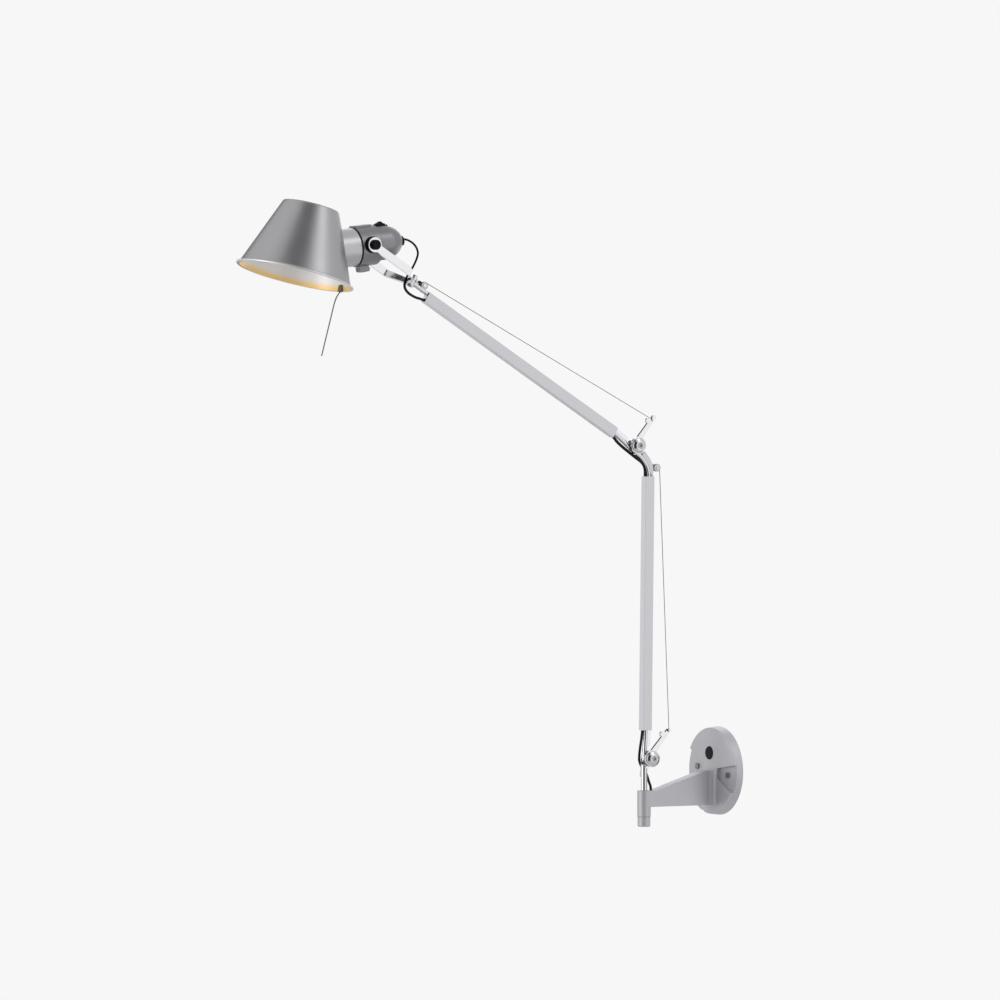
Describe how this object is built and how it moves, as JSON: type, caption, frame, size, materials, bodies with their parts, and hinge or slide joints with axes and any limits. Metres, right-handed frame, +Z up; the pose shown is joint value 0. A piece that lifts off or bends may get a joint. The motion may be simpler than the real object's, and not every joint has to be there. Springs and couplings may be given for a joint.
{
  "type": "articulating wall lamp",
  "caption": "Wall-mounted task lamp: swivel bracket, two-part spring-balanced arm with ties and pulleys, forked head with rocker switch, and a turning conical metal shade with an aiming rod.",
  "frame": {"origin": "centre of the wall plate, on the wall surface", "axes": "+Z up, -Y out of the wall towards the room, +X along the wall; the arm rests as in the picture, in the plane X = 0"},
  "size_m": [0.1688, 0.7884, 0.8922],
  "materials": {
    "grey_casting": "satin",
    "tube_satin": "satin",
    "chrome_rod": "polished",
    "zinc_steel": "satin",
    "black_plastic": "matte",
    "black_gloss": "gloss",
    "black_cable": "satin",
    "acetal_white": "satin",
    "tie_steel": "satin",
    "shade_silver": "satin",
    "bulb_glass": "gloss",
    "holder_ceramic": "satin",
    "brass_terminal": "satin"
  },
  "bodies": {
    "wall_bracket": {"wall_bracket": "grey_casting", "mounting_plate": "zinc_steel", "cover_screws": "zinc_steel", "hole_plug": "black_plastic", "terminal_block": "brass_terminal", "bracket_cable": "black_cable", "swivel_bushings": "acetal_white"},
    "stem": {"swivel_post": "chrome_rod", "post_cap": "grey_casting", "base_lever": "chrome_rod", "base_tie_anchor": "chrome_rod", "base_pivot_cap": "chrome_rod", "base_pivot_screw": "zinc_steel", "base_pivot_nut": "black_plastic", "base_friction_washer": "acetal_white", "base_cable_lower": "black_cable"},
    "lower_arm": {"lower_tube": "tube_satin", "lower_arm_foot": "chrome_rod", "elbow_neck": "chrome_rod", "elbow_web": "tube_satin", "lower_spring": "zinc_steel", "lower_tie": "tie_steel", "lower_tube_cable": "black_cable", "elbow_lever": "chrome_rod", "elbow_tie_anchor": "chrome_rod", "elbow_pivot_cap": "chrome_rod", "elbow_pivot_screw": "zinc_steel", "elbow_pivot_nut": "black_plastic", "elbow_friction_washer": "acetal_white", "base_cable_upper": "black_cable"},
    "lower_pulley": {"lower_pulley": "acetal_white"},
    "upper_arm": {"upper_tube": "tube_satin", "upper_arm_foot": "chrome_rod", "head_neck": "chrome_rod", "neck_bumper": "black_plastic", "upper_spring": "zinc_steel", "upper_tie": "tie_steel", "upper_tube_cable": "black_cable", "elbow_cable": "black_cable"},
    "upper_pulley": {"upper_pulley": "acetal_white"},
    "fork": {"fork": "chrome_rod", "fork_pin": "zinc_steel", "fork_cable": "black_cable"},
    "lamp_head": {"lamp_housing": "shade_silver", "back_cover": "shade_silver", "cable_gland": "black_plastic", "side_bosses": "black_plastic", "clamp_screw": "zinc_steel", "switch_body": "black_plastic", "lampholder": "holder_ceramic", "light_bulb": "bulb_glass", "spin_ring": "black_plastic", "head_cable": "black_cable"},
    "switch_rocker": {"switch_rocker": "black_gloss"},
    "near_knob": {"near_knob": "black_plastic"},
    "far_knob": {"far_knob": "black_plastic"},
    "shade": {"shade": "shade_silver", "shade_neck": "shade_silver", "aiming_rod": "zinc_steel"}
  },
  "joints": [
    {"name": "post_swivel", "type": "hinge", "parent": "wall_bracket", "child": "stem", "pos_m": [0, -0.1275, -0.03], "axis": [0, 0, 1], "range_deg": [-90, 90], "deforming": ["base_cable_lower"]},
    {"name": "lower_arm_pivot", "type": "hinge", "parent": "stem", "child": "lower_arm", "pos_m": [0, -0.1192, 0.02], "axis": [1, 0, 0], "range_deg": [-12, 60], "deforming": ["lower_tie", "lower_spring", "base_cable_upper"]},
    {"name": "lower_pulley_turn", "type": "hinge", "parent": "lower_arm", "child": "lower_pulley", "pos_m": [0, -0.10653, 0.43478], "axis": [1, 0, 0], "range_deg": [-600, 600]},
    {"name": "elbow_pivot", "type": "hinge", "parent": "lower_arm", "child": "upper_arm", "pos_m": [0, -0.14284, 0.46692], "axis": [1, 0, 0], "range_deg": [-50, 55], "deforming": ["upper_tie", "upper_spring", "elbow_cable"]},
    {"name": "upper_pulley_turn", "type": "hinge", "parent": "upper_arm", "child": "upper_pulley", "pos_m": [0, -0.49579, 0.6942], "axis": [1, 0, 0], "range_deg": [-600, 600]},
    {"name": "fork_swivel", "type": "hinge", "parent": "upper_arm", "child": "fork", "pos_m": [0, -0.51806, 0.69731], "axis": [0, 0.5232, 0.8522], "range_deg": [-54, 54], "deforming": ["fork_cable"]},
    {"name": "head_tilt", "type": "hinge", "parent": "fork", "child": "lamp_head", "pos_m": [0, -0.59726, 0.75121], "axis": [1, 0, 0], "range_deg": [-75, 45], "deforming": ["head_cable"]},
    {"name": "near_knob_turn", "type": "hinge", "parent": "lamp_head", "child": "near_knob", "pos_m": [0.038, -0.59726, 0.75121], "axis": [1, 0, 0], "range_deg": [0, 180]},
    {"name": "far_knob_turn", "type": "hinge", "parent": "lamp_head", "child": "far_knob", "pos_m": [-0.038, -0.59726, 0.75121], "axis": [1, 0, 0], "range_deg": [-180, 0]},
    {"name": "switch_press", "type": "hinge", "parent": "lamp_head", "child": "switch_rocker", "pos_m": [0, -0.57052, 0.77711], "axis": [1, 0, 0], "range_deg": [-16, 0]},
    {"name": "shade_spin", "type": "hinge", "parent": "lamp_head", "child": "shade", "pos_m": [0, -0.59709, 0.74972], "axis": [0, 0.9936, 0.1132], "range_deg": [-90, 90]}
  ],
  "couplings": [
    {"joint": "lower_pulley_turn", "follows": "lower_arm_pivot", "ratio": -7.13},
    {"joint": "upper_pulley_turn", "follows": "elbow_pivot", "ratio": -9}
  ]
}
